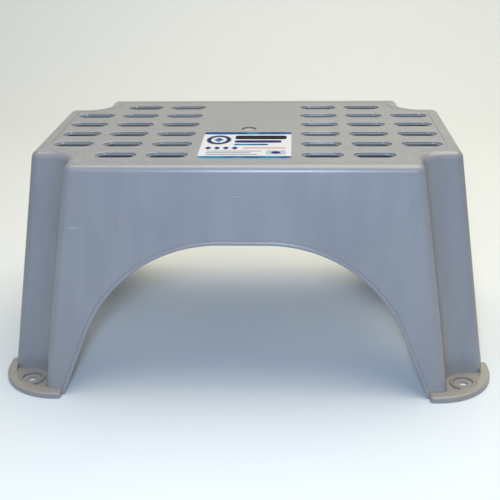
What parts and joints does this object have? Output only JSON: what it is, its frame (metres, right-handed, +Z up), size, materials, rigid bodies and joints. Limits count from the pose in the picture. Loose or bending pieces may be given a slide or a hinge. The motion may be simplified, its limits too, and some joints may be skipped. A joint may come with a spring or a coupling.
{
  "type": "caravan entry step",
  "caption": "Plastic entry step for a caravan: open-bottomed moulded shell with drafted, notched corners, arched sides, a slotted tread and flat screw-down feet.",
  "frame": {"origin": "on the floor under the middle of the tread", "axes": "+X along the step's width, +Y towards its back, +Z up"},
  "size_m": [0.4944, 0.3564, 0.2262],
  "materials": {
    "grey_plastic": "fine satin grain",
    "label_paper": "coated paper"
  },
  "bodies": {
    "root": {"step_shell": "grey_plastic", "paper_label": "label_paper"}
  },
  "joints": []
}
